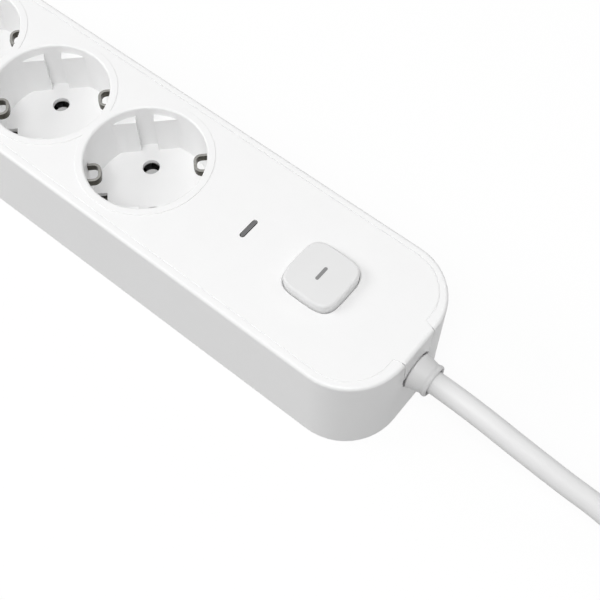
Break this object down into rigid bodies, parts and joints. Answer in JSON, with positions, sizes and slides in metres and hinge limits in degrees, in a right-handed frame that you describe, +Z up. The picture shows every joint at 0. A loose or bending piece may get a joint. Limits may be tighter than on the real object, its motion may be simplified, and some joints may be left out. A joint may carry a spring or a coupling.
{
  "type": "power strip",
  "caption": "White power strip with round earthed socket wells in a row, a pilot light slot, a square push switch and a mains lead with a plug, folded into a tied hank.",
  "frame": {"origin": "middle of the case's flat underside, on the surface that the strip lies on", "axes": "+X along the strip towards the cable end, +Y across it, +Z up out of the socket face"},
  "size_m": [0.4079, 0.0909, 0.061],
  "materials": {
    "white_abs": "fine satin white",
    "button_abs": "satin off-white",
    "smoked_lens": "smooth smoked grey",
    "lamp_glass": "clear",
    "black_nylon": "matt black",
    "nickel_spring_steel": "rolled strip",
    "brass_strip": "rolled strip",
    "zinc_plated_steel": "zinc plated",
    "nickel_plated_brass": "nickel plated",
    "white_pvc": "smooth satin",
    "brown_pvc": "smooth",
    "blue_pvc": "smooth",
    "green_yellow_pvc": "smooth",
    "white_hook_tape": "woven tape"
  },
  "bodies": {
    "strip": {"base_tray": "white_abs", "top_cover": "white_abs", "earth_bracket_1": "nickel_spring_steel", "earth_bracket_2": "nickel_spring_steel", "earth_bracket_3": "nickel_spring_steel", "earth_rail": "brass_strip", "live_rail": "brass_strip", "neutral_rail": "brass_strip", "switch_housing": "black_nylon", "return_spring": "nickel_spring_steel", "switch_terminal_in": "brass_strip", "switch_terminal_out": "brass_strip", "indicator_lens": "smoked_lens", "indicator_lamp": "lamp_glass", "cable_gland": "white_pvc", "cord_clamp": "white_abs", "clamp_screw_1": "zinc_plated_steel", "clamp_screw_2": "zinc_plated_steel", "cover_screw_1": "zinc_plated_steel", "cover_screw_2": "zinc_plated_steel", "cover_screw_3": "zinc_plated_steel", "cover_screw_4": "zinc_plated_steel", "cover_screw_5": "zinc_plated_steel", "cover_screw_6": "zinc_plated_steel", "cord_inner": "white_pvc", "live_lead": "brown_pvc", "neutral_lead": "blue_pvc", "earth_lead": "green_yellow_pvc", "switched_lead": "brown_pvc", "cord_lead": "white_pvc", "cord_coil": "white_pvc", "cord_tail": "white_pvc", "cord_tie": "white_hook_tape", "plug_body": "white_pvc", "plug_pin_1": "nickel_plated_brass", "plug_pin_2": "nickel_plated_brass", "plug_earth_strip_1": "nickel_plated_brass", "plug_earth_strip_2": "nickel_plated_brass", "plug_strain_relief": "white_pvc"},
    "button": {"push_button": "button_abs", "switch_plunger": "white_abs"}
  },
  "joints": [
    {"name": "button_press", "type": "slide", "parent": "strip", "child": "button", "axis": [0, 0, -1], "range_m": [0, 0.0025], "stiffness_N_per_m": 400, "springref_m": -0.0015, "deforming": ["return_spring"]}
  ]
}
